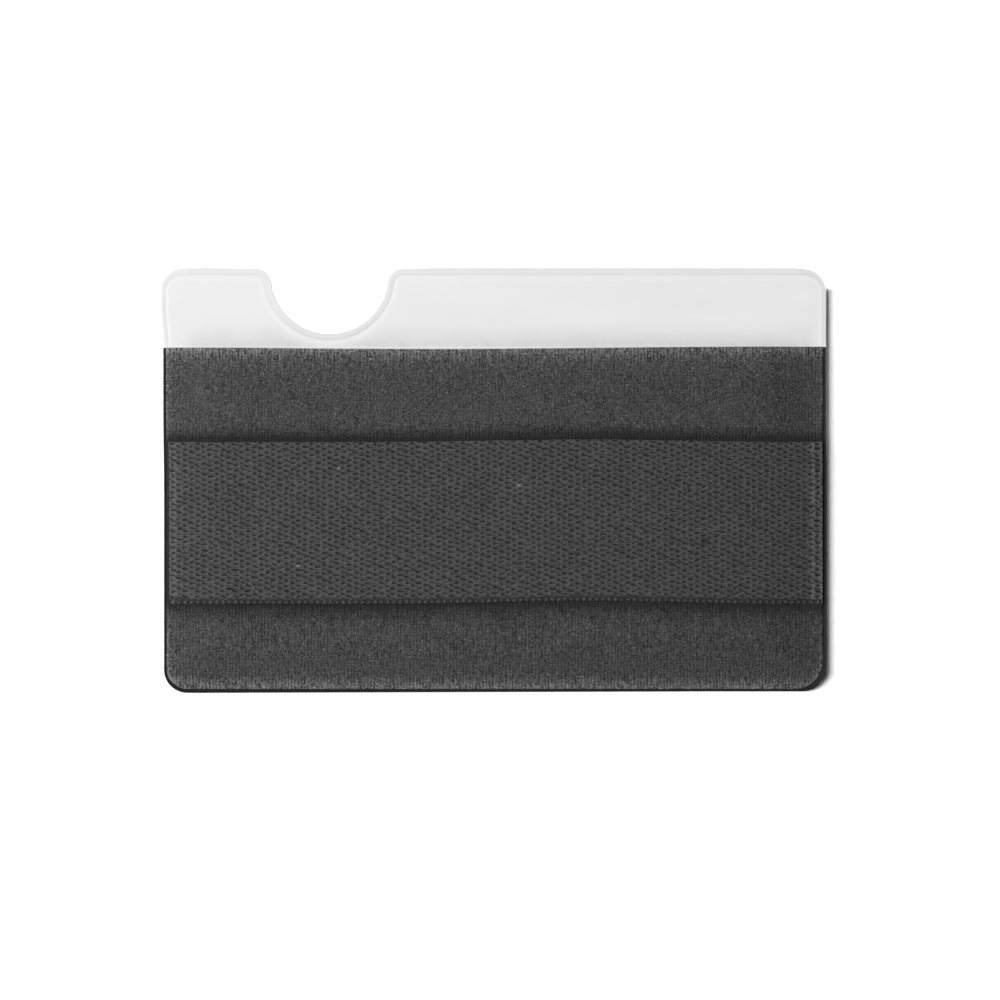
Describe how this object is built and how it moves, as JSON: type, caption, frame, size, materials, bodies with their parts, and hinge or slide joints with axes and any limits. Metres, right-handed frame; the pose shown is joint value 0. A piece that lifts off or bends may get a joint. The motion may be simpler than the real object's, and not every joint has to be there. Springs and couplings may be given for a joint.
{
  "type": "stick on phone card holder",
  "caption": "Flat stick-on card pocket for the back of a phone: milky plastic plate with a thumb notch, grey knitted stretch pocket, woven elastic finger band across it, adhesive back with release liner.",
  "frame": {"origin": "centre of the holder's outline, on the surface that its release liner lies on", "axes": "+X along the long side, to the right as the picture shows it; +Y towards the pocket's mouth and the thumb notch; +Z out of the front, away from the phone"},
  "size_m": [0.094, 0.06, 0.0037],
  "materials": {
    "plate_plastic": "milky translucent moulded plastic, satin",
    "lining_cloth": "dark lining cloth with a fused edge",
    "stretch_knit": "fine ribbed stretch knit, dark grey with a soft sheen",
    "woven_elastic": "woven elastic webbing, dark grey",
    "adhesive": "double-sided acrylic adhesive",
    "liner_paper": "white coated release paper"
  },
  "bodies": {
    "root": {"back_plate": "plate_plastic", "pocket_back": "lining_cloth", "pocket_front": "stretch_knit", "finger_band": "woven_elastic", "adhesive_pad": "adhesive", "release_liner": "liner_paper"}
  },
  "joints": []
}
